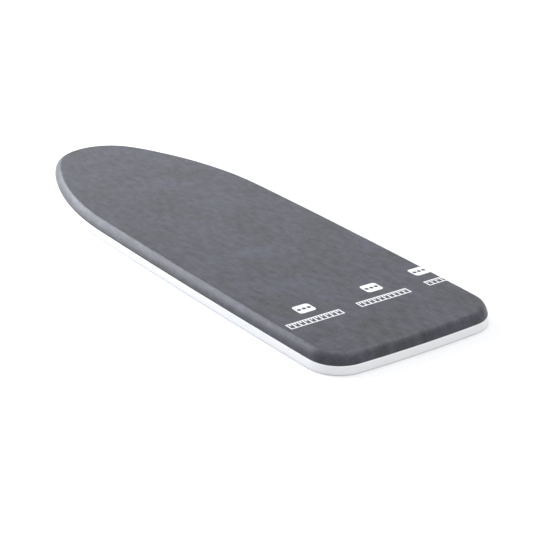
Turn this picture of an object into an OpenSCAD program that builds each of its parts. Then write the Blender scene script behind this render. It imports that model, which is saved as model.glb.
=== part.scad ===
// Tabletop ironing board: padded cloth cover over a plywood deck, on a white rim in two
// halves and three ribbed panels. Two wire legs fold flat into the bays between the panels.
// Millimetres, +Z up. The origin is under the middle of the board, on the table.
// The nose points to -X, the square end to +X, and the legs are drawn folded.

/* [Board] */
// Length from the tip of the nose to the square end
board_length = 950; // [930:1:970]
// Width across the shoulders, the widest place
board_width = 310; // [304:1:316]
// Width at the square end, just before its corners
end_width = 290; // [284:1:296]
// Radius of the two corners of the square end
corner_radius = 48; // [36:1:60]
// Tilt of the square end's slight outward bow where it meets a corner, degrees
end_bow = 3; // [1:0.5:5]

/* [Nose] */
// Radius of the tip
tip_radius = 87; // [80:1:92]
// Direction in which the tip's arc ends, degrees from the square end
tip_turn = 123; // [121:0.5:125]
// Radius of the long arc that runs into the shoulder
shoulder_radius = 668; // [640:1:690]
// Direction in which the shoulder's arc begins, degrees from the square end
shoulder_turn = 114; // [112:0.5:115]

/* [Rim and panels] */
// Height of the rim, from the table to the cover's hem
rim_height = 13; // [13:0.5:16]
// Width of the rim
rim_width = 14; // [13:0.5:14]
// Thickness of the panels' top skin
panel_skin = 3; // [2:0.5:3]
// How far the panels stay above the table
panel_lift = 1; // [0.5:0.5:1.5]
// Thickness of the walls around a pocket
rib = 4; // [3:0.5:5]
// Rounding of the rim's lower edge
rim_round = 1.2; // [0.8:0.1:3]

/* [Padding] */
// Thickness of the plywood deck
deck_thickness = 4.5; // [4:0.5:6]
// How far the deck's edge stands in from the rim, which is the hem's groove
groove_depth = 7; // [7:0.5:8]
// Thickness of the foam pad
foam_thickness = 9; // [6:0.5:10]
// Rounding of the foam pad's upper edge
foam_round = 6; // [4:0.5:6]
// Thickness of the heat reflecting felt
felt_thickness = 1.2; // [0.8:0.2:1.6]
// Thickness of the woven cover
cover_thickness = 0.9; // [0.6:0.1:1]
// Diameter of the elastic in the cover's hem
elastic_diameter = 2.4; // [1.6:0.2:2.6]

/* [Legs] */
// Diameter of the bent wire
wire_diameter = 8; // [7:0.5:8]
// Distance from a leg's pivot to its foot bar
leg_reach = 150; // [140:1:155]
// Half the distance between the rear leg's arms
rear_half_width = 110; // [102:1:110]
// Half the distance between the front leg's arms
front_half_width = 80; // [72:1:80]
// Where the rear leg's pivot is along the board
rear_pivot = 318; // [312:1:320]
// Where the front leg's pivot is along the board
front_pivot = -300; // [-302:1:-296]
// Angle through which a leg opens, past upright
open_angle = 105; // [100:1:108]
// Bend radius at the foot bar's ends
foot_bend = 18; // [14:1:22]
// Outer diameter of the rubber feet
foot_diameter = 12; // [10:0.5:12]
// Length of a rubber foot
foot_length = 38; // [24:1:40]

/* [Hidden] */

half_length = board_length / 2;
half_width = board_width / 2;
end_half = end_width / 2;

// the nose and side are arcs that run into one another without a corner
middle_radius =
    (half_width - tip_radius * sin(tip_turn) - shoulder_radius * (1 - sin(shoulder_turn)))
    / (sin(shoulder_turn) - sin(tip_turn));
tip_centre = [tip_radius - half_length, 0];
middle_centre = tip_centre + (tip_radius - middle_radius) * [cos(tip_turn), sin(tip_turn)];
shoulder_centre = middle_centre
    + (middle_radius - shoulder_radius) * [cos(shoulder_turn), sin(shoulder_turn)];
shoulder_x = shoulder_centre.x;
corner_y = end_half - corner_radius;
end_half_chord = corner_y + corner_radius * sin(end_bow);
corner_centre = [half_length - end_half_chord * tan(end_bow / 2) - corner_radius * cos(end_bow), corner_y];
side_turn = 2 * atan((half_width - end_half) / (corner_centre.x - shoulder_x));
side_radius = (corner_centre.x + corner_radius * sin(side_turn) - shoulder_x) / sin(side_turn);
side_centre = [shoulder_x, half_width - side_radius];
end_radius = end_half_chord / sin(end_bow);
end_centre = [half_length - end_radius, 0];

deck_bottom = rim_height;
deck_top = deck_bottom + deck_thickness;
foam_top = deck_top + foam_thickness;
felt_top = foam_top + felt_thickness;
cover_top = felt_top + cover_thickness;
soft_gap = 0.3;
cover_inset = 0.5;
foam_inset = cover_inset + cover_thickness + 0.6;
felt_inset = foam_inset + foam_round;
cover_round = felt_inset - cover_inset;
hem_lip_inset = groove_depth - 0.5;
hem_bottom = deck_bottom + soft_gap;
hem_round = 1;
elastic_inset = 4.4;
elastic_z = hem_bottom + cover_thickness + elastic_diameter / 2 + 0.1;

axle_z = rim_height / 2;
stub_bend = 10;
stub_length = 12;
bay_foot_gap = 34;
bay_pivot_gap = 27;
rear_bay = [rear_pivot - leg_reach - bay_foot_gap, rear_pivot + bay_pivot_gap];
front_bay = [front_pivot - bay_pivot_gap, front_pivot + leg_reach + bay_foot_gap];

bearing_width = 10;
bearing_wall = 1.65;
bearing_clearance = 0.05;
bearing_bore = wire_diameter + 2 * bearing_clearance;
flange_length = 44;
flange_height = 3;
flange_screw = 16;
bearing_bottom = axle_z - bearing_bore / 2 - bearing_wall;
stop_gap = 0.3;
stop_reach = (axle_z - bearing_bottom) * tan(open_angle - 90)
    + wire_diameter / 2 / cos(open_angle - 90) + stop_gap;
stop_width = 16;
clip_width = 20;
clip_wall = 2;
clip_plate = 2;
clip_clearance = 0.5;
clip_length = 36;
clip_screw = 12;
clip_tip = 3;

screw_shank = 3;
screw_head = 6;
screw_head_height = 1.8;
screw_tip = deck_top - 1;
pilot_end = screw_tip + 0.3;
pilot_hole = screw_shank + 0.1;
clearance_hole = screw_shank + 0.4;
head_hole = screw_head + 0.6;
head_level = rim_height - panel_skin;
rim_screw_inset = 10.5;
rim_joint = 0;

pocket_rows = 3;
pocket_columns = 3;
panel_inset = rim_width + 0.2;
pocket_inset = panel_inset + rib;
pocket_half_span = half_width - pocket_inset;
row_width = (2 * pocket_half_span - (pocket_rows - 1) * rib) / pocket_rows;
row_pitch = row_width + rib;
middle_span = rear_bay[0] - front_bay[1];
column_length = (middle_span - (pocket_columns + 1) * rib) / pocket_columns;
column_pitch = column_length + rib;
end_pocket = 92;
nose_pocket_x = front_bay[0] - rib - end_pocket;
end_pocket_x = rear_bay[1] + rib;
end_screw_y = 0.75 * row_pitch;
screw_columns = [
    for (k = [0:pocket_columns - 1])
        front_bay[1] + rib + column_length / 2 + k * column_pitch
];

tip_steps = 12;
middle_steps = 4;
shoulder_steps = 12;
side_steps = 6;
corner_steps = 12;
end_steps = 4;
round_steps = 5;
wire_facets = 32;
screw_facets = 24;

function arc(centre, radius, from, to, steps, inset) = [
    for (k = [0:steps - 1])
        let (a = from + (to - from) * k / steps)
        centre + (radius - inset) * [cos(a), sin(a)]
];

// one side of the board's edge, from the tip almost to the middle of the square end
function half_edge(inset) = concat(
    arc(tip_centre, tip_radius, 180, tip_turn, tip_steps, inset),
    arc(middle_centre, middle_radius, tip_turn, shoulder_turn, middle_steps, inset),
    arc(shoulder_centre, shoulder_radius, shoulder_turn, 90, shoulder_steps, inset),
    arc(side_centre, side_radius, 90, 90 - side_turn, side_steps, inset),
    arc(corner_centre, corner_radius, 90 - side_turn, end_bow, corner_steps, inset),
    arc(end_centre, end_radius, end_bow, 0, end_steps, inset),
    [[half_length - inset, 0]]
);

function edge(inset) =
    let (half = half_edge(inset), n = len(half))
    concat(half, [for (k = [n - 2:-1:1]) [half[k].x, -half[k].y]]);

edge_points = len(edge(0));

// levels are [height, inset] pairs, joined in order; the first and last are closed with a face
module loft(levels) {
    last = len(levels) - 1;
    points = [for (level = levels) for (p = edge(level[1])) [p.x, p.y, level[0]]];
    first_face = [for (k = [edge_points - 1:-1:0]) k];
    last_face = [for (k = [0:edge_points - 1]) last * edge_points + k];
    bands = [
        for (row = [0:last - 1])
            for (k = [0:edge_points - 1])
                let (next = (k + 1) % edge_points, low = row * edge_points)
                [low + k, low + next, low + edge_points + next, low + edge_points + k]
    ];
    polyhedron(points = points, faces = concat([first_face, last_face], bands), convexity = 8);
}

// levels go once round a cord's section, so the cord is a closed loop along the edge
module closed_loop(levels) {
    count = len(levels);
    points = [for (level = levels) for (p = edge(level[1])) [p.x, p.y, level[0]]];
    bands = [
        for (row = [0:count - 1])
            for (k = [0:edge_points - 1])
                let (next = (k + 1) % edge_points)
                let (low = row * edge_points, high = (row + 1) % count * edge_points)
                [low + k, low + next, high + next, high + k]
    ];
    polyhedron(points = points, faces = bands, convexity = 8);
}

module plate(bottom, top, inset) {
    translate([0, 0, bottom])
        linear_extrude(height = top - bottom)
            polygon(edge(inset));
}

module block(x_range, y_range, z_range) {
    translate([x_range[0], y_range[0], z_range[0]])
        cube([x_range[1] - x_range[0], y_range[1] - y_range[0], z_range[1] - z_range[0]]);
}

// one column of pockets, open below and kept inside the rim
module pocket_column(x_start, length) {
    intersection() {
        plate(-1, head_level, pocket_inset);
        for (row = [0:pocket_rows - 1])
            let (y = -pocket_half_span + row * row_pitch)
            block([x_start, x_start + length], [y, y + row_width], [-1, head_level]);
    }
}

module panel(x_range) {
    intersection() {
        plate(panel_lift, rim_height, panel_inset);
        block(x_range, [-half_width, half_width], [0, rim_height + 1]);
    }
}

// screws through the rim, along the nose's long arcs and the sides
module rim_screw_places() {
    for (mirrored = [0, 1])
        mirror([0, mirrored, 0]) {
            for (turn = [98, 106])
                translate(shoulder_centre + (shoulder_radius - rim_screw_inset) * [cos(turn), sin(turn)])
                    children();
            for (share = [0.06, 0.35, 0.65, 0.94])
                let (turn = 90 - share * side_turn)
                translate(side_centre + (side_radius - rim_screw_inset) * [cos(turn), sin(turn)])
                    children();
        }
}

module panel_screw_places() {
    for (x = screw_columns)
        for (side = [-1, 1])
            translate([x, side * row_pitch, 0])
                children();
    for (x = [nose_pocket_x + end_pocket / 2, end_pocket_x + end_pocket / 2])
        for (side = [-1, 1])
            translate([x, side * end_screw_y, 0])
                children();
}

module bearing_screw_places() {
    for (side = [-1, 1])
        for (offset = [-flange_screw, flange_screw]) {
            translate([rear_pivot + offset, side * bearing_y(rear_half_width), 0])
                children();
            translate([front_pivot + offset, side * bearing_y(front_half_width), 0])
                children();
        }
}

module clip_screw_places() {
    for (bar = [rear_pivot - leg_reach, front_pivot + leg_reach])
        for (offset = [-clip_screw, clip_screw])
            translate([bar + offset, 0, 0])
                children();
}

function bearing_y(arm) = arm + stub_bend + stub_length / 2;

// the rim between two places along the board
module rim(x_range) {
    difference() {
        intersection() {
            loft([
                [0, rim_round],
                for (k = [1:round_steps])
                    let (a = 90 * k / round_steps)
                    [rim_round * (1 - cos(a)), rim_round * (1 - sin(a))],
                [rim_height - 1, 0],
                [rim_height, 0.6]
            ]);
            block(x_range, [-half_width - 1, half_width + 1], [-1, rim_height + 1]);
        }
        plate(-1, rim_height + 1, rim_width);
        rim_screw_places() {
            cylinder(h = rim_height + 1, d = clearance_hole, $fn = screw_facets);
            translate([0, 0, -1])
                cylinder(h = head_level + 1, d = head_hole, $fn = screw_facets);
        }
    }
}

module nose_rim() {
    color("white")
        rim([-half_length - 1, rim_joint]);
}

module end_rim() {
    color("white")
        rim([rim_joint, half_length + 1]);
}

module nose_panel() {
    color("white")
        difference() {
            panel([-half_length, front_bay[0]]);
            pocket_column(nose_pocket_x, end_pocket);
            panel_screw_holes();
        }
}

module middle_panel() {
    color("white")
        difference() {
            panel([front_bay[1], rear_bay[0]]);
            for (k = [0:pocket_columns - 1])
                pocket_column(front_bay[1] + rib + k * column_pitch, column_length);
            panel_screw_holes();
        }
}

module end_panel() {
    color("white")
        difference() {
            panel([rear_bay[1], half_length]);
            pocket_column(end_pocket_x, end_pocket);
            panel_screw_holes();
        }
}

module panel_screw_holes() {
    panel_screw_places()
        cylinder(h = rim_height + 1, d = clearance_hole, $fn = screw_facets);
}

module pilot() {
    cylinder(h = pilot_end, d = pilot_hole, $fn = screw_facets);
}

module deck_panel() {
    color("burlywood")
        difference() {
            plate(deck_bottom, deck_top, groove_depth);
            rim_screw_places()
                pilot();
            panel_screw_places()
                pilot();
            bearing_screw_places()
                pilot();
            clip_screw_places()
                pilot();
        }
}

module foam_pad() {
    color("gainsboro")
        loft([
            [deck_top, foam_inset],
            for (k = [0:round_steps])
                let (a = 90 * k / round_steps)
                [foam_top - foam_round * (1 - sin(a)), foam_inset + foam_round * (1 - cos(a))]
        ]);
}

module reflective_felt() {
    color("silver")
        plate(foam_top, felt_top, felt_inset);
}

module cover() {
    inner_round = cover_round - cover_thickness;
    color("dimgray")
        loft([
            for (k = [round_steps:-1:0])
                let (a = 90 * k / round_steps)
                [felt_top - inner_round * (1 - sin(a)), felt_inset - inner_round * cos(a)],
            [hem_bottom + cover_thickness, cover_inset + cover_thickness],
            [hem_bottom + cover_thickness, hem_lip_inset],
            [hem_bottom, hem_lip_inset],
            [hem_bottom, cover_inset + hem_round],
            [hem_bottom + 0.3 * hem_round, cover_inset + 0.3 * hem_round],
            [hem_bottom + hem_round, cover_inset],
            for (k = [0:round_steps])
                let (a = 90 * k / round_steps)
                [cover_top - cover_round * (1 - sin(a)), felt_inset - cover_round * cos(a)]
        ]);
}

module hem_elastic() {
    facets = 8;
    color("black")
        closed_loop([
            for (k = [0:facets - 1])
                let (a = 360 * (k + 0.5) / facets)
                [elastic_z + elastic_diameter / 2 * sin(a), elastic_inset - elastic_diameter / 2 * cos(a)]
        ]);
}

// a pan head screw driven upwards, with its head under the given height
module screw(head_top) {
    recess = 0.9;
    recess_span = 3.4;
    translate([0, 0, head_top])
        difference() {
            union() {
                cylinder(h = screw_tip - head_top, d = screw_shank, $fn = screw_facets);
                translate([0, 0, -screw_head_height])
                    cylinder(h = screw_head_height, d1 = screw_head - 1, d2 = screw_head,
                        $fn = screw_facets);
            }
            for (turn = [0, 90])
                rotate([0, 0, turn])
                    translate([0, 0, -screw_head_height])
                        cube([recess_span, recess, 2 * recess], center = true);
        }
}

module rim_screws() {
    color("silver")
        rim_screw_places()
            screw(head_level);
}

module panel_screws() {
    color("silver")
        panel_screw_places()
            screw(head_level);
}

module bearing_screws() {
    color("silver")
        bearing_screw_places()
            screw(deck_bottom - flange_height);
}

module clip_screws() {
    color("silver")
        clip_screw_places()
            screw(deck_bottom - clip_plate);
}

// Drawn for a leg whose arms run towards -X, on its +Y side. Beyond the bore is the
// heel that the open leg's arm leans on.
module bearing(arm) {
    outer = bearing_bore / 2 + bearing_wall;
    y = bearing_y(arm);
    across = [y - bearing_width / 2, y + bearing_width / 2];
    heel = [arm - stop_width / 2, arm + stop_width / 2];
    color("dimgray")
        difference() {
            union() {
                translate([0, y, axle_z])
                    rotate([90, 0, 0])
                        cylinder(h = bearing_width, r = outer, center = true, $fn = wire_facets);
                block([-outer, outer], across, [axle_z, deck_bottom]);
                block([-flange_length / 2, flange_length / 2], across,
                    [deck_bottom - flange_height, deck_bottom]);
                block([stop_reach, flange_length / 2], [heel[0], across[1]],
                    [deck_bottom - flange_height, deck_bottom]);
                block([stop_reach, flange_length / 2], heel, [bearing_bottom, deck_bottom]);
            }
            translate([0, y, axle_z])
                rotate([90, 0, 0])
                    cylinder(h = bearing_width + 2, d = bearing_bore, center = true, $fn = wire_facets);
            for (offset = [-flange_screw, flange_screw])
                translate([offset, y, 0])
                    cylinder(h = deck_bottom + 1, d = clearance_hole, $fn = screw_facets);
        }
}

module rear_left_bearing() {
    translate([rear_pivot, 0, 0])
        bearing(rear_half_width);
}

module rear_right_bearing() {
    mirror([0, 1, 0])
        rear_left_bearing();
}

module front_left_bearing() {
    translate([front_pivot, 0, 0])
        mirror([1, 0, 0])
            bearing(front_half_width);
}

module front_right_bearing() {
    mirror([0, 1, 0])
        front_left_bearing();
}

// a fork that holds a folded leg's foot bar
module clip(bar) {
    inner = wire_diameter / 2 + clip_clearance;
    color("dimgray")
        translate([bar, 0, 0])
            difference() {
                union() {
                    block([-clip_length / 2, clip_length / 2], [-clip_width / 2, clip_width / 2],
                        [deck_bottom - clip_plate, deck_bottom]);
                    for (side = [-1, 1])
                        let (near = side * inner, far = side * (inner + clip_wall))
                        block([min(near, far), max(near, far)], [-clip_width / 2, clip_width / 2],
                            [clip_tip, deck_bottom - clip_plate]);
                }
                for (offset = [-clip_screw, clip_screw])
                    translate([offset, 0, 0])
                        cylinder(h = deck_bottom + 1, d = clearance_hole, $fn = screw_facets);
            }
}

module rear_clip() {
    clip(rear_pivot - leg_reach);
}

module front_clip() {
    clip(front_pivot + leg_reach);
}

module rod(x, from_y, to_y) {
    translate([x, to_y, 0])
        rotate([90, 0, 0])
            cylinder(h = to_y - from_y, d = wire_diameter, $fn = wire_facets);
}

module bend(x, y, radius, from) {
    translate([x, y, 0])
        rotate([0, 0, from])
            rotate_extrude(angle = 90, $fn = 4 * wire_facets)
                translate([radius, 0])
                    circle(d = wire_diameter, $fn = wire_facets);
}

// a leg about its own pivot, with the arms towards -X
module leg_frame(arm) {
    foot_x = -leg_reach;
    color("white")
        union() {
            rod(foot_x, foot_bend - arm, arm - foot_bend);
            bend(foot_x + foot_bend, arm - foot_bend, foot_bend, 90);
            bend(foot_x + foot_bend, foot_bend - arm, foot_bend, 180);
            for (side = [-1, 1])
                translate([foot_x + foot_bend, side * arm, 0])
                    rotate([0, 90, 0])
                        cylinder(h = leg_reach - foot_bend - stub_bend, d = wire_diameter,
                            $fn = wire_facets);
            bend(-stub_bend, arm + stub_bend, stub_bend, 270);
            bend(-stub_bend, -arm - stub_bend, stub_bend, 0);
            rod(0, arm + stub_bend, arm + stub_bend + stub_length);
            rod(0, -arm - stub_bend - stub_length, -arm - stub_bend);
        }
}

module foot(arm, side) {
    middle = side * (arm - foot_bend - foot_length / 2 - 1);
    radius = foot_diameter / 2;
    soften = 1;
    bore = wire_diameter / 2 + 0.05;
    color("dimgray")
        translate([-leg_reach, middle, 0])
            rotate([90, 0, 0])
                rotate_extrude($fn = wire_facets)
                    polygon([
                        [bore, -foot_length / 2],
                        [radius - soften, -foot_length / 2],
                        [radius, soften - foot_length / 2],
                        [radius, foot_length / 2 - soften],
                        [radius - soften, foot_length / 2],
                        [bore, foot_length / 2]
                    ]);
}

module on_rear_pivot() {
    translate([rear_pivot, 0, axle_z])
        children();
}

module on_front_pivot() {
    translate([front_pivot, 0, axle_z])
        rotate([0, 0, 180])
            children();
}

module rear_leg_frame() {
    on_rear_pivot()
        leg_frame(rear_half_width);
}

module rear_left_foot() {
    on_rear_pivot()
        foot(rear_half_width, 1);
}

module rear_right_foot() {
    on_rear_pivot()
        foot(rear_half_width, -1);
}

module front_leg_frame() {
    on_front_pivot()
        leg_frame(front_half_width);
}

module front_left_foot() {
    on_front_pivot()
        foot(front_half_width, -1);
}

module front_right_foot() {
    on_front_pivot()
        foot(front_half_width, 1);
}

nose_rim();
end_rim();
nose_panel();
middle_panel();
end_panel();
deck_panel();
foam_pad();
reflective_felt();
cover();
hem_elastic();
rim_screws();
panel_screws();
rear_left_bearing();
rear_right_bearing();
front_left_bearing();
front_right_bearing();
bearing_screws();
rear_clip();
front_clip();
clip_screws();
rear_leg_frame();
rear_left_foot();
rear_right_foot();
front_leg_frame();
front_left_foot();
front_right_foot();
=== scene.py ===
import math

import bpy
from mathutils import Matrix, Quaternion, Vector, noise


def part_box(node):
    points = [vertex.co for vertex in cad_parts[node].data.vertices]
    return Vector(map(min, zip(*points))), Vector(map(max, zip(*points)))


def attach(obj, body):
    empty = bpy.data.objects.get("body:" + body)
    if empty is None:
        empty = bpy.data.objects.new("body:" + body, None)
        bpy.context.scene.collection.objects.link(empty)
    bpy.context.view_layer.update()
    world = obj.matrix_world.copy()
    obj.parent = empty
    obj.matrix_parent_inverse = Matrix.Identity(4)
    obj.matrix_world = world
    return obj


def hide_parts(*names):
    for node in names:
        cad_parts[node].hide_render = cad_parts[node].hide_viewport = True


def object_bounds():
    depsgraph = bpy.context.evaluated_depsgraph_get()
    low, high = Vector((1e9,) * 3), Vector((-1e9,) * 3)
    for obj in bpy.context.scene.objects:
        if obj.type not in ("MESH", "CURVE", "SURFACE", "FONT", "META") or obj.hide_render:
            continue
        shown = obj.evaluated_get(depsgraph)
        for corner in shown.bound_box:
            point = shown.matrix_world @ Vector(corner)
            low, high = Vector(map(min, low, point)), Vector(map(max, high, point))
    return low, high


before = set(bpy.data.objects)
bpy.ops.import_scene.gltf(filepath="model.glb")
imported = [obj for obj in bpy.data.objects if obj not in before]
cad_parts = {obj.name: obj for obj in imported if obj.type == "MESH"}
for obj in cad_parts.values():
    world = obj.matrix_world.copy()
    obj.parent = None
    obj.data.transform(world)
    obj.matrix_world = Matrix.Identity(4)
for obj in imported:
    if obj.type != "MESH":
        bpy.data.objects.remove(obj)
cad_low, cad_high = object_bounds()

MM = 0.001

# ---------------------------------------------------------------- the board's outline

TIP_RADIUS = 87 * MM
TIP_TURN = math.radians(123)
SHOULDER_RADIUS = 668 * MM
SHOULDER_TURN = math.radians(114)
CORNER_RADIUS = 48 * MM
END_HALF_WIDTH = 145 * MM
END_BOW = math.radians(3)


def towards(angle):
    """The flat direction at an angle from +X."""
    return Vector((math.cos(angle), math.sin(angle)))


def edge_arcs():
    """The arcs of one side of the edge, tip to square end: centre, radius, first and last angle."""
    half_width = cad_high.y
    middle_radius = half_width - TIP_RADIUS * math.sin(TIP_TURN)
    middle_radius -= SHOULDER_RADIUS * (1 - math.sin(SHOULDER_TURN))
    middle_radius /= math.sin(SHOULDER_TURN) - math.sin(TIP_TURN)
    tip = Vector((cad_low.x + TIP_RADIUS, 0))
    middle = tip + (TIP_RADIUS - middle_radius) * towards(TIP_TURN)
    shoulder = middle + (middle_radius - SHOULDER_RADIUS) * towards(SHOULDER_TURN)
    corner_y = END_HALF_WIDTH - CORNER_RADIUS
    end_half = corner_y + CORNER_RADIUS * math.sin(END_BOW)
    corner_x = cad_high.x - end_half * math.tan(END_BOW / 2) - CORNER_RADIUS * math.cos(END_BOW)
    side_turn = 2 * math.atan((half_width - END_HALF_WIDTH) / (corner_x - shoulder.x))
    side_radius = (corner_x + CORNER_RADIUS * math.sin(side_turn) - shoulder.x) / math.sin(side_turn)
    end_radius = end_half / math.sin(END_BOW)
    square = math.pi / 2
    return [
        (tip, TIP_RADIUS, math.pi, TIP_TURN),
        (middle, middle_radius, TIP_TURN, SHOULDER_TURN),
        (shoulder, SHOULDER_RADIUS, SHOULDER_TURN, square),
        (Vector((shoulder.x, half_width - side_radius)), side_radius, square, square - side_turn),
        (Vector((corner_x, corner_y)), CORNER_RADIUS, square - side_turn, END_BOW),
        (Vector((cad_high.x - end_radius, 0)), end_radius, END_BOW, 0),
    ]


def edge_line(step):
    """Points all round the edge, about a step apart, each with the direction out of the board."""
    half = []
    for centre, radius, start, stop in edge_arcs():
        count = max(3, round(radius * abs(stop - start) / step))
        for k in range(count):
            out = towards(start + (stop - start) * k / count)
            half.append((centre + radius * out, out))
    tip, tip_out = half[0]
    end = Vector((cad_high.x, 0))
    mirrored = [(Vector((p.x, -p.y)), Vector((n.x, -n.y))) for p, n in reversed(half[1:])]
    return [(tip, tip_out), *half[1:], (end, Vector((1, 0))), *mirrored]


# ---------------------------------------------------------------- meshes made of rings


def ring(line, inset, height):
    """The edge line moved in by an inset, at a height."""
    return [Vector((p.x - n.x * inset, p.y - n.y * inset, height)) for p, n in line]


# the part of the middle line that the top's rings close on
SPINE_FROM = -375 * MM
SPINE_TO = 360 * MM


def to_spine(first, count):
    """Rings that run from a ring inwards until they close on the board's middle line."""
    rings = []
    for k in range(1, count + 1):
        share = k / count
        inner = []
        for p in first:
            spine = Vector((min(max(p.x, SPINE_FROM), SPINE_TO), 0, p.z))
            inner.append(p.lerp(spine, share))
        rings.append(inner)
    return rings


def rounded(line, reach, drop, inset, top, steps, lean=0.0):
    """Rings over part of a quarter oval, from its lean to level: in from the inset, up to the top."""
    across, along = reach / math.cos(lean), drop / (1 - math.sin(lean))
    rings = []
    for k in range(steps + 1):
        a = lean + (math.pi / 2 - lean) * k / steps
        rings.append(ring(line, inset + reach - across * math.cos(a), top - along * (1 - math.sin(a))))
    return rings


def mesh_of(name, rings, loop=False):
    """A mesh whose faces join each ring to the next; with loop the last joins the first."""
    count = len(rings[0])
    points = [p for r in rings for p in r]
    faces = []
    for row in range(len(rings) if loop else len(rings) - 1):
        low, high = row * count, (row + 1) % len(rings) * count
        for k in range(count):
            after = (k + 1) % count
            faces.append((low + after, low + k, high + k, high + after))
    mesh = bpy.data.meshes.new(name)
    mesh.from_pydata(points, [], faces)
    made = bpy.data.objects.new(name, mesh)
    bpy.context.scene.collection.objects.link(made)
    mesh.shade_smooth()
    return made


def apply_modifiers(piece):
    """Replaces a piece's mesh by what its modifiers make of it."""
    graph = bpy.context.evaluated_depsgraph_get()
    final = bpy.data.meshes.new_from_object(piece.evaluated_get(graph), depsgraph=graph)
    piece.modifiers.clear()
    piece.data = final


def weld(piece):
    """Joins points that lie on each other, such as a last ring that closed on the middle line."""
    modifier = piece.modifiers.new("weld", "WELD")
    modifier.merge_threshold = 0.05 * MM
    apply_modifiers(piece)


def thicken(piece, thickness):
    """Gives a sheet its thickness, inwards from the face that was drawn."""
    thick = piece.modifiers.new("thickness", "SOLIDIFY")
    thick.thickness = thickness
    thick.offset = -1


# ---------------------------------------------------------------- materials


def linear(hex_colour):
    """An sRGB hex colour as the linear colour that a shader takes."""
    channels = [int(hex_colour[k:k + 2], 16) / 255 for k in (1, 3, 5)]
    return [c / 12.92 if c <= 0.04045 else ((c + 0.055) / 1.055) ** 2.4 for c in channels] + [1.0]


def add(tree, kind, *values, named=None, out=0, **settings):
    """Adds a node with its settings and gives an output; inputs take plain values or other outputs."""
    node = tree.nodes.new("ShaderNode" + kind)
    for name, value in settings.items():
        setattr(node, name, value)
    for socket, value in [*enumerate(values), *(named or {}).items()]:
        if isinstance(value, bpy.types.NodeSocket):
            tree.links.new(value, node.inputs[socket])
        else:
            node.inputs[socket].default_value = value
    return None if out is None else node.outputs[out]


def new_material(name):
    """An empty material and its node tree."""
    made = bpy.data.materials.new(name)
    made.use_nodes = True
    made.node_tree.nodes.clear()
    return made, made.node_tree


def surface(tree, colour, roughness, height=None, depth=0.1 * MM, **constants):
    """The shader and its output, with a bump of a depth in metres; constants go to other sockets."""
    inputs = {"Base Color": colour, "Roughness": roughness}
    inputs.update({name.replace("_", " "): value for name, value in constants.items()})
    if height is not None:
        bump = {"Height": height, "Distance": depth, "Strength": 1.0}
        inputs["Normal"] = add(tree, "Bump", named=bump)
    shader = add(tree, "BsdfPrincipled", named=inputs)
    add(tree, "OutputMaterial", named={"Surface": shader}, out=None)


def two_tones(tree, share, first, second):
    """A finish's colour between two tones, by a share from 0 to 1; a tone is a hex colour or an output."""
    tones = [linear(tone) if isinstance(tone, str) else tone for tone in (first, second)]
    return add(tree, "Mix", share, named={6: tones[0], 7: tones[1]}, out=2, data_type="RGBA")


def grain(tree, vector, size, detail=2.0, stretch=(1, 1, 1), roughness=0.5):
    """Noise from 0 to 1 whose lumps are about a size apart, drawn out by stretch."""
    scale = [1 / (size * s) for s in stretch]
    mapped = add(tree, "Mapping", vector, named={"Scale": scale})
    inputs = {"Vector": mapped, "Scale": 1.0, "Detail": detail, "Roughness": roughness}
    return add(tree, "TexNoise", named=inputs, out="Fac")


def moulded_polypropylene():
    """White polypropylene from a spark-eroded mould: an even, soft sheen with a fine pebble."""
    made, tree = new_material("moulded_polypropylene")
    where = add(tree, "TexCoord", out="Object")
    # a mould's fine pebble is 0.3 mm; it is drawn at 1.2 mm to show
    pebble = grain(tree, where, 1.2 * MM, 1.0)
    flow = grain(tree, where, 60 * MM, 2.0, (3, 1, 1))
    colour = two_tones(tree, flow, "#cbcccd", "#d2d3d3")
    rough = add(tree, "Math", flow, 0.12, 0.34, operation="MULTIPLY_ADD")
    surface(tree, colour, rough, pebble, 0.02 * MM, IOR=1.49)
    return made


def woven_cover_cloth(print_mask):
    """Cotton and polyester, woven plain, dyed dark grey and coated, with a silky light where it turns."""
    made, tree = new_material("woven_cotton_polyester")
    cloth = add(tree, "UVMap", uv_map="cloth")
    # a plain weave's yarns are 0.35 mm; the thick and thin places in them are drawn 2.5 mm wide to show
    warp = grain(tree, cloth, 2.5 * MM, 3.0, (6, 1, 1), 0.6)
    weft = grain(tree, cloth, 2.5 * MM, 3.0, (1, 6, 1), 0.6)
    both = add(tree, "Math", warp, weft, operation="ADD")
    slub = add(tree, "Math", both, 0.5, operation="MULTIPLY")
    # dye takes unevenly, in patches and in faint bands along the cloth
    mottle = grain(tree, cloth, 11 * MM, 4.0, (2, 1, 1))
    cloud = grain(tree, cloth, 90 * MM, 3.0)
    tone = add(tree, "Math", slub, 0.5, operation="MULTIPLY")
    tone = add(tree, "Math", mottle, 0.3, tone, operation="MULTIPLY_ADD")
    tone = add(tree, "Math", cloud, 0.2, tone, operation="MULTIPLY_ADD")
    tone = add(tree, "MapRange", tone, 0.4, 0.6)
    cool = add(tree, "MapRange", cloud, 0.35, 0.65)
    deep = two_tones(tree, cool, "#1e1f21", "#1d1e24")
    pale = two_tones(tree, cool, "#393a3d", "#383943")
    dyed = two_tones(tree, tone, deep, pale)
    colour = two_tones(tree, print_mask(tree, cloth), dyed, "#bcbcbc")
    rough = add(tree, "Math", tone, -0.06, 0.44, operation="MULTIPLY_ADD")
    surface(
        tree, colour, rough, slub, 0.2 * MM,
        IOR=1.5, Specular_IOR_Level=0.4, Sheen_Weight=0.05, Sheen_Roughness=0.4,
    )
    return made


# ---------------------------------------------------------------- the print near the square end

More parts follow.
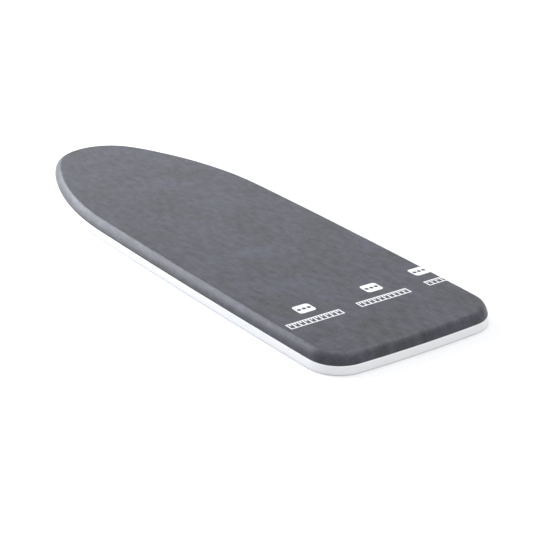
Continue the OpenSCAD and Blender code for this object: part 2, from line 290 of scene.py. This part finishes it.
# each repeat: the badge's middle along and across the board, and the same for the bar's start
REPEATS = (
    (328 * MM, -81.5 * MM, 363.5 * MM, -132 * MM),
    (325.5 * MM, 35 * MM, 361 * MM, -15 * MM),
    (319 * MM, 126.5 * MM, 359 * MM, 106 * MM),
)
BADGE_LENGTH = 27 * MM
BADGE_WIDTH = 24 * MM
BAR_WIDTH = 15 * MM
BAR_LENGTH = 87 * MM
SOFT_EDGE = 0.4 * MM


def inside(tree, distance):
    """1 where a distance to an outline is below zero, fading over the print's soft edge."""
    return add(tree, "MapRange", distance, SOFT_EDGE, -SOFT_EDGE)


def box_distance(tree, x, y, half_x, half_y):
    """How far a place is outside a box, and below zero inside it."""
    past = []
    for across, half in ((x, half_x), (y, half_y)):
        from_middle = add(tree, "Math", across, operation="ABSOLUTE")
        past.append(add(tree, "Math", from_middle, half, operation="SUBTRACT"))
    return add(tree, "Math", *past, operation="MAXIMUM")


def disc_distance(tree, x, y, radius):
    """How far a place is outside a disc, and below zero inside it."""
    square_x, square_y = (add(tree, "Math", side, side, operation="MULTIPLY") for side in (x, y))
    square = add(tree, "Math", square_x, square_y, operation="ADD")
    from_middle = add(tree, "Math", square, operation="SQRT")
    return add(tree, "Math", from_middle, radius, operation="SUBTRACT")


def badge(tree, x, y):
    """A white tile with round corners, and on it the three dots of a hot iron's setting."""
    round_corner = 5 * MM
    dot = 3.1 * MM
    past = []
    for across, half in ((x, BADGE_WIDTH / 2), (y, BADGE_LENGTH / 2)):
        from_middle = add(tree, "Math", across, operation="ABSOLUTE")
        far = add(tree, "Math", from_middle, half - round_corner, operation="SUBTRACT")
        past.append(add(tree, "Math", far, 0.0, operation="MAXIMUM"))
    tile = inside(tree, disc_distance(tree, *past, round_corner))
    for middle in (-8 * MM, 0.0, 8 * MM):
        along = add(tree, "Math", y, middle, operation="SUBTRACT")
        plain = inside(tree, disc_distance(tree, x, along, dot))
        tile = add(tree, "Math", tile, plain, operation="SUBTRACT")
    return add(tree, "Math", tile, 0.0, operation="MAXIMUM")


def ruled_bar(tree, x, y):
    """A white frame round a scale of long and short ticks, with y counted from the bar's start."""
    frame_line = 1.8 * MM
    tick_pitch = 8.5 * MM
    tick = 2.2 * MM
    short_by = 1.5 * MM
    y = add(tree, "Math", y, BAR_LENGTH / 2, operation="SUBTRACT")
    inner_x, inner_y = BAR_WIDTH / 2 - frame_line, BAR_LENGTH / 2 - frame_line
    outer = inside(tree, box_distance(tree, x, y, BAR_WIDTH / 2, BAR_LENGTH / 2))
    inner = inside(tree, box_distance(tree, x, y, inner_x, inner_y))
    between = add(tree, "Math", y, tick_pitch / 2, operation="PINGPONG")
    long_tick = add(tree, "Math", between, tick / 2, operation="SUBTRACT")
    short_tick = add(tree, "Math", tick_pitch / 2 - tick / 2, between, operation="SUBTRACT")
    reach = add(tree, "Math", x, short_by, operation="ADD")
    short_tick = add(tree, "Math", short_tick, reach, operation="MAXIMUM")
    scale = inside(tree, add(tree, "Math", long_tick, short_tick, operation="MINIMUM"))
    ticks = add(tree, "Math", inner, scale, operation="MULTIPLY")
    bare = add(tree, "Math", inner, ticks, operation="SUBTRACT")
    return add(tree, "Math", outer, bare, operation="SUBTRACT")


def printed_marks(tree, cloth):
    """1 where the cover is printed white."""
    x, y = (add(tree, "SeparateXYZ", cloth, out=axis) for axis in "XY")
    mask = 0.0
    for badge_x, badge_y, bar_x, bar_y in REPEATS:
        for mark, start_x, start_y in ((badge, badge_x, badge_y), (ruled_bar, bar_x, bar_y)):
            here_x = add(tree, "Math", x, start_x, operation="SUBTRACT")
            here_y = add(tree, "Math", y, start_y, operation="SUBTRACT")
            mask = add(tree, "Math", mask, mark(tree, here_x, here_y), operation="MAXIMUM")
    return mask


# ---------------------------------------------------------------- the other materials


def birch_plywood():
    """Sanded birch plywood: pale, with long, faint grain."""
    made, tree = new_material("birch_plywood")
    where = add(tree, "TexCoord", out="Object")
    rings = grain(tree, where, 9 * MM, 4.0, (22, 1, 4), 0.6)
    pores = grain(tree, where, 1.5 * MM, 2.0, (16, 1, 1))
    tone = add(tree, "Math", rings, 0.7, operation="MULTIPLY")
    tone = add(tree, "Math", pores, 0.3, tone, operation="MULTIPLY_ADD")
    surface(tree, two_tones(tree, tone, "#b58a5a", "#e3c69b"), 0.62, tone, 0.05 * MM)
    return made


def polyurethane_foam():
    """Cut polyurethane foam: cream, matt, with open cells."""
    made, tree = new_material("polyurethane_foam")
    # cells are 0.6 mm across; they are drawn at 1.6 mm to show
    cell = 1.6 * MM
    where = add(tree, "TexCoord", out="Object")
    mapped = add(tree, "Mapping", where, named={"Scale": [1 / cell] * 3})
    cells = add(tree, "TexVoronoi", named={"Vector": mapped, "Scale": 1.0}, out="Distance")
    colour = two_tones(tree, cells, "#c9bf9f", "#efe9d2")
    surface(tree, colour, 0.95, cells, 0.3 * MM, Subsurface_Weight=0.15, Subsurface_Scale=3 * MM)
    return made


def aluminised_felt():
    """Polyester felt with an aluminised face: grey, with a fine crumpled glint."""
    made, tree = new_material("aluminised_felt")
    where = add(tree, "TexCoord", out="Object")
    fibre = grain(tree, where, 0.8 * MM, 3.0, (4, 1, 1))
    crumple = grain(tree, where, 12 * MM, 3.0)
    colour = two_tones(tree, fibre, "#a4a7aa", "#d4d6d8")
    rough = add(tree, "Math", crumple, 0.3, 0.3, operation="MULTIPLY_ADD")
    height = add(tree, "Math", fibre, crumple, operation="ADD")
    surface(tree, colour, rough, height, 0.15 * MM, Metallic=0.6)
    return made


def braided_elastic():
    """Rubber core elastic in a polyester braid: near black, with the braid's slanting ribs."""
    made, tree = new_material("braided_elastic")
    where = add(tree, "TexCoord", out="Object")
    x, y, z = (add(tree, "SeparateXYZ", where, out=axis) for axis in "XYZ")
    rib = 1.2 * MM
    slant = add(tree, "Math", z, 2.0, add(tree, "Math", x, y, operation="ADD"), operation="MULTIPLY_ADD")
    turns = add(tree, "Math", slant, 2 * math.pi / rib, operation="MULTIPLY")
    wave = add(tree, "Math", turns, operation="SINE")
    ribs = add(tree, "Math", wave, 0.5, 0.5, operation="MULTIPLY_ADD")
    surface(tree, two_tones(tree, ribs, "#26262a", "#45454c"), 0.8, ribs, 0.15 * MM, Sheen_Weight=0.2)
    return made


def glass_filled_nylon():
    """Dark grey nylon with glass fibre, injection moulded: matt, with faint flow lines."""
    made, tree = new_material("glass_filled_nylon")
    where = add(tree, "TexCoord", out="Object")
    fibre = grain(tree, where, 0.7 * MM, 2.0, (5, 1, 1))
    colour = two_tones(tree, fibre, "#3f4043", "#54565a")
    rough = add(tree, "Math", fibre, 0.2, 0.42, operation="MULTIPLY_ADD")
    surface(tree, colour, rough, fibre, 0.03 * MM, IOR=1.53)
    return made


def zinc_plated_steel():
    """Bright zinc, plated on steel in a bath: silvery, slightly blue and cloudy."""
    made, tree = new_material("zinc_plated_steel")
    where = add(tree, "TexCoord", out="Object")
    cloud = grain(tree, where, 2 * MM, 3.0)
    colour = two_tones(tree, cloud, "#a9adb2", "#d3d6da")
    rough = add(tree, "Math", cloud, 0.2, 0.22, operation="MULTIPLY_ADD")
    surface(tree, colour, rough, cloud, 0.01 * MM, Metallic=1.0)
    return made


def powder_coated_wire():
    """White powder, sprayed on steel wire and baked: glossy over a faint orange peel."""
    made, tree = new_material("powder_coated_wire")
    where = add(tree, "TexCoord", out="Object")
    # orange peel is 1 mm across; it is drawn at 2 mm to show
    peel = grain(tree, where, 2 * MM, 1.0)
    rub = grain(tree, where, 25 * MM, 3.0)
    colour = two_tones(tree, rub, "#dcddde", "#ebecec")
    rough = add(tree, "Math", rub, 0.12, 0.22, operation="MULTIPLY_ADD")
    surface(tree, colour, rough, peel, 0.02 * MM, IOR=1.5, Coat_Weight=0.3, Coat_Roughness=0.12)
    return made


def moulded_rubber():
    """Black rubber, moulded: dull, with a dusty bloom in its hollows."""
    made, tree = new_material("moulded_rubber")
    where = add(tree, "TexCoord", out="Object")
    bloom = grain(tree, where, 6 * MM, 4.0)
    skin = grain(tree, where, 0.8 * MM, 1.0)
    colour = two_tones(tree, bloom, "#242426", "#3a3a3c")
    rough = add(tree, "Math", bloom, 0.2, 0.62, operation="MULTIPLY_ADD")
    surface(tree, colour, rough, skin, 0.04 * MM, IOR=1.52)
    return made


# ---------------------------------------------------------------- the soft pieces

EDGE_STEP = 8 * MM

COVER_THICKNESS = 0.9 * MM
# the lip is flat, in the hem's groove; its rings run from its inner edge outwards
LIP_INSETS = (6.5 * MM, 4.0 * MM, 1.8 * MM)
# how the hem turns from the lip into the side: inset, and height above the lip
HEM_TURN = ((0.8 * MM, 0.15 * MM), (0.35 * MM, 0.55 * MM))
SIDE_INSET = 0.2 * MM
# the side starts this far above the lip, and rolls over until it is level
SIDE_FOOT = 1.2 * MM
ROLL_REACH = 11.5 * MM
ROLL_LEAN = math.radians(28)
ROLL_STEPS = 11
TOP_RINGS = 20
# the padding lifts the cover's top this far above the plain solid
TOP_PROUD = 1.0 * MM

PRESSURE_FRAMES = 20
# the furthest that the pressure moves a point, the gathers' depth and the top's unevenness
PUFF = 1.1 * MM
GATHER = 0.35 * MM
SWELL = 0.25 * MM
# towards the nose the cover is fuller and stands out over its hem
NOSE_PLUMP = 2.2 * MM
NOSE_FROM = -300 * MM
NOSE_RUN = 120 * MM

FOAM_INSET = 3.6 * MM
FOAM_FOOT = 1 * MM
FOAM_ROLL = 10 * MM
# the felt stays inside the cover's roll, a little pressed into the foam
FELT_INSET = 12.5 * MM
FELT_SINK = 0.35 * MM
FELT_PRESSED = 0.5 * MM
ELASTIC_INSET = 4.4 * MM
ELASTIC_STEP = 3 * MM
ELASTIC_SIDES = 10


def soft_limit(length, limit):
    """A length that grows ever more slowly towards a limit."""
    return limit * math.tanh(length / limit)


def puff_up(piece, held, limit):
    """Blows a cloth piece up from inside, held where the weights are 1, and limits how far it goes."""
    rest = [v.co.copy() for v in piece.data.vertices]
    group = piece.vertex_groups.new(name="held")
    for index, weight in enumerate(held):
        group.add([index], weight, "REPLACE")
    cloth = piece.modifiers.new("cloth", "CLOTH")
    settings = cloth.settings
    settings.quality = 5
    settings.mass = 0.25
    settings.tension_stiffness = 18
    settings.compression_stiffness = 18
    settings.shear_stiffness = 8
    settings.bending_stiffness = 1.5
    settings.use_pressure = True
    settings.uniform_pressure_force = 4
    settings.effector_weights.gravity = 0
    settings.vertex_group_mass = "held"
    cloth.point_cache.frame_start = 1
    cloth.point_cache.frame_end = PRESSURE_FRAMES
    for number in range(1, PRESSURE_FRAMES + 1):
        bpy.context.scene.frame_set(number)
    apply_modifiers(piece)
    bpy.context.scene.frame_set(1)
    for vertex, start in zip(piece.data.vertices, rest):
        move = vertex.co - start
        if move.length > 1e-9:
            vertex.co = start + move * (soft_limit(move.length, limit) / move.length)


def cover_rings(line):
    """The cover's outer face up to its flat top: the lip in the groove, the hem's turn, the side."""
    low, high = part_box("cover")
    bottom, top = low.z, high.z + TOP_PROUD
    lip = [ring(line, inset, bottom) for inset in LIP_INSETS]
    turn = [ring(line, inset, bottom + rise) for inset, rise in HEM_TURN]
    drop = top - bottom - SIDE_FOOT
    side = rounded(line, ROLL_REACH, drop, SIDE_INSET, top, ROLL_STEPS, ROLL_LEAN)
    return lip, turn, side


def cloth_map(piece, rows, line):
    """Lays the cloth flat in a UV map, in metres, so that the weave runs on over the edge."""
    run = [0.0] * len(rows)
    for k in range(len(rows) - 2, -1, -1):
        run[k] = run[k + 1] + (rows[k][0] - rows[k + 1][0]).length
    layer = piece.data.uv_layers.new(name="cloth")
    for loop in piece.data.loops:
        row, column = divmod(loop.vertex_index, len(line))
        if row < len(rows):
            start, out = rows[-1][column], line[column][1]
            flat = Vector((start.x, start.y)) + out * run[row]
        else:
            flat = piece.data.vertices[loop.vertex_index].co
        layer.data[loop.index].uv = (flat[0], flat[1])


def make_cover():
    """One sheet from the lip round the side to the middle line, blown up a little from inside."""
    line = edge_line(EDGE_STEP)
    lip, turn, side = cover_rings(line)
    rows = lip + turn + side
    piece = mesh_of("padded_cover", rows + to_spine(side[-1], TOP_RINGS))
    cloth_map(piece, rows, line)
    held_points = len(lip + turn) * len(line)
    held = [1.0 if k < held_points else 0.0 for k in range(len(piece.data.vertices))]
    puff_up(piece, held, PUFF)
    gather_hem(piece, len(rows), line)
    weld(piece)
    thicken(piece, COVER_THICKNESS)
    smooth = piece.modifiers.new("smooth", "SUBSURF")
    smooth.levels = smooth.render_levels = 1
    return piece


def lumps(point, size, layer):
    """A steady noise over the board, from -1 to 1, with lumps of a size; layers differ."""
    return noise.noise(Vector((point.x, point.y, layer)) / size)


def gather_hem(piece, row_count, line):
    """The hem's elastic gathers the side a little; the nose is fuller and the top gently uneven."""
    low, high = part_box("cover")
    for vertex in piece.data.vertices:
        row, column = divmod(vertex.index, len(line))
        start = vertex.co.copy()
        if row < row_count:
            height = (start.z - low.z) / (high.z - low.z)
            strength = math.sin(math.pi * min(1.0, max(0.0, height * 0.9 + 0.1)))
            gathers = 0.7 * lumps(start, 16 * MM, 0) + 0.3 * lumps(start, 7 * MM, 1)
            nose_share = min(1.0, max(0.0, (NOSE_FROM - start.x) / NOSE_RUN))
            push = strength * (GATHER * gathers + NOSE_PLUMP * nose_share)
            out = line[column][1]
            vertex.co.x += out.x * push
            vertex.co.y += out.y * push
        if row >= row_count - 4:
            vertex.co.z += SWELL * lumps(vertex.co, 70 * MM, 2)


def make_foam():
    """A closed pad with a flat underside, a rounded upper edge and a slightly uneven top."""
    line = edge_line(EDGE_STEP)
    low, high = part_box("foam_pad")
    bottom = ring(line, FOAM_INSET + FOAM_FOOT, low.z)
    under = list(reversed(to_spine(bottom, 8)))
    side = rounded(line, FOAM_ROLL, high.z - low.z - FOAM_FOOT, FOAM_INSET, high.z, 6)
    piece = mesh_of("foam_layer", under + [bottom] + side + to_spine(side[-1], 12))
    weld(piece)
    for vertex in piece.data.vertices:
        if vertex.co.z > low.z + FOAM_FOOT:
            vertex.co.z -= 0.2 * MM * (1.2 + noise.noise(vertex.co / (30 * MM)))
    return piece


def make_felt():
    """A flat sheet that lies on the foam."""
    line = edge_line(EDGE_STEP)
    low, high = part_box("reflective_felt")
    first = ring(line, FELT_INSET, high.z - FELT_SINK)
    piece = mesh_of("heat_felt", [first] + to_spine(first, 16))
    weld(piece)
    thicken(piece, high.z - low.z - FELT_PRESSED)
    return piece


def make_elastic():
    """One closed loop of round elastic in the hem."""
    line = edge_line(ELASTIC_STEP)
    low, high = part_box("hem_elastic")
    radius = (high.z - low.z) / 2
    middle = (high.z + low.z) / 2
    rings = []
    for k in range(ELASTIC_SIDES):
        a = -2 * math.pi * k / ELASTIC_SIDES
        rings.append(ring(line, ELASTIC_INSET + radius * math.cos(a), middle + radius * math.sin(a)))
    return mesh_of("hem_elastic_braid", rings, loop=True)


# ---------------------------------------------------------------- dressing the part


def paint(piece, material):
    """Gives a piece one material."""
    piece.data.materials.clear()
    piece.data.materials.append(material)


def dress_cad_nodes():
    """Gives each CAD node its finish, by its name or its name's last word, and smooth shading."""
    nylon = glass_filled_nylon()
    white = moulded_polypropylene()
    finishes = {
        "rim": white,
        "deck_panel": birch_plywood(),
        "panel": white,
        "screws": zinc_plated_steel(),
        "bearing": nylon,
        "clip": nylon,
        "frame": powder_coated_wire(),
        "foot": moulded_rubber(),
    }
    for name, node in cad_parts.items():
        finish = finishes.get(name) or finishes.get(name.split("_")[-1])
        if finish:
            paint(node, finish)
            node.data.shade_smooth()
            node.data.set_sharp_from_angle(angle=math.radians(32))


def dress_soft_pieces():
    """Makes and finishes the soft pieces, puts them on the board and hides the CAD solids they stand for.
    """
    cover, foam, felt, elastic = make_cover(), make_foam(), make_felt(), make_elastic()
    paint(cover, woven_cover_cloth(printed_marks))
    paint(foam, polyurethane_foam())
    paint(felt, aluminised_felt())
    paint(elastic, braided_elastic())
    for piece, node, slot in (
        (cover, "cover", "cover_cloth"),
        (foam, "foam_pad", "foam"),
        (felt, "reflective_felt", "felt"),
        (elastic, "hem_elastic", "elastic"),
    ):
        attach(piece, "board")
        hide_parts(node)


# ---------------------------------------------------------------- the room

FLOOR_REACH = 12.0
# the floor's hole starts where the rim's foot is flat
FLOOR_HOLE_INSET = 1.4 * MM


def seamless_floor():
    """White paper, cut out just inside the rim's foot, so the underside is lit and seen from below."""
    line = edge_line(EDGE_STEP)
    floor = mesh_of("studio_floor", [ring(line, -FLOOR_REACH, 0), ring(line, FLOOR_HOLE_INSET, 0)])
    made, tree = new_material("white_paper_sweep")
    tone = grain(tree, add(tree, "TexCoord", out="Object"), 0.5, 2.0)
    surface(tree, two_tones(tree, tone, "#c2c2c2", "#c6c6c6"), 0.9)
    paint(floor, made)


def softbox(name, position, target, size, power, colour, tilt):
    """A soft rectangular lamp aimed at a target, turned about its own aim by a tilt in degrees."""
    light = bpy.data.lights.new(name, "AREA")
    light.shape = "RECTANGLE"
    light.size, light.size_y = size
    light.energy = power
    light.color = linear(colour)[:3]
    lamp = bpy.data.objects.new(name, light)
    lamp.location = position
    aim = (Vector(target) - Vector(position)).to_track_quat("-Z", "Y")
    lamp.rotation_euler = (aim @ Quaternion((0, 0, 1), math.radians(tilt))).to_euler()
    bpy.context.scene.collection.objects.link(lamp)


def studio_light():
    """A white room, a soft ceiling and two softboxes past the nose, a strong near and a faint far one."""
    world = bpy.data.worlds.new("studio")
    world.use_nodes = True
    background = world.node_tree.nodes["Background"]
    background.inputs["Color"].default_value = linear("#f8f9fd")
    background.inputs["Strength"].default_value = 0.92
    bpy.context.scene.world = world
    ceiling = bpy.data.lights.new("ceiling", "SUN")
    ceiling.energy = 3.0
    ceiling.angle = math.radians(80)
    lamp = bpy.data.objects.new("ceiling", ceiling)
    lamp.rotation_euler = (math.radians(-10), math.radians(8), 0)
    bpy.context.scene.collection.objects.link(lamp)
    softbox("edge_light", (-1.8, -1.0, 0.95), (0, 0, 0), (2.1, 2.0), 84, "#f2f4ff", -30)
    softbox("nose_light", (-1.5, 0.75, 0.62), (-0.35, 0, 0), (1.0, 0.7), 0.25, "#dfe5ff", 0)


CAMERA_TURN = math.radians(55.16)
CAMERA_HEIGHT = math.radians(23.64)
CAMERA_ACROSS = 0.0886
CAMERA_DOWN = 0.0735
CAMERA_BACK = 2.0279
CAMERA_LENS = 83.54


def camera():
    """The camera looks along a fixed direction, and is moved across and down without being turned."""
    level, rise = math.cos(CAMERA_HEIGHT), math.sin(CAMERA_HEIGHT)
    back = Vector((math.sin(CAMERA_TURN) * level, -math.cos(CAMERA_TURN) * level, rise))
    across = Vector((math.cos(CAMERA_TURN), math.sin(CAMERA_TURN), 0))
    upwards = back.cross(across)
    data = bpy.data.cameras.new("camera")
    data.sensor_width = 36
    data.lens = CAMERA_LENS
    data.clip_start, data.clip_end = 0.05, 100
    eye = bpy.data.objects.new("camera", data)
    hem = Vector((0, 0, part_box("end_rim")[1].z))
    eye.location = hem + across * CAMERA_ACROSS - upwards * CAMERA_DOWN + back * CAMERA_BACK
    eye.rotation_mode = "QUATERNION"
    eye.rotation_quaternion = (-back).to_track_quat("-Z", "Y")
    bpy.context.scene.collection.objects.link(eye)
    bpy.context.scene.camera = eye


camera()
studio_light()
seamless_floor()
dress_cad_nodes()
dress_soft_pieces()

scene = bpy.context.scene
scene.view_settings.view_transform = "Standard"
scene.view_settings.look = "None"
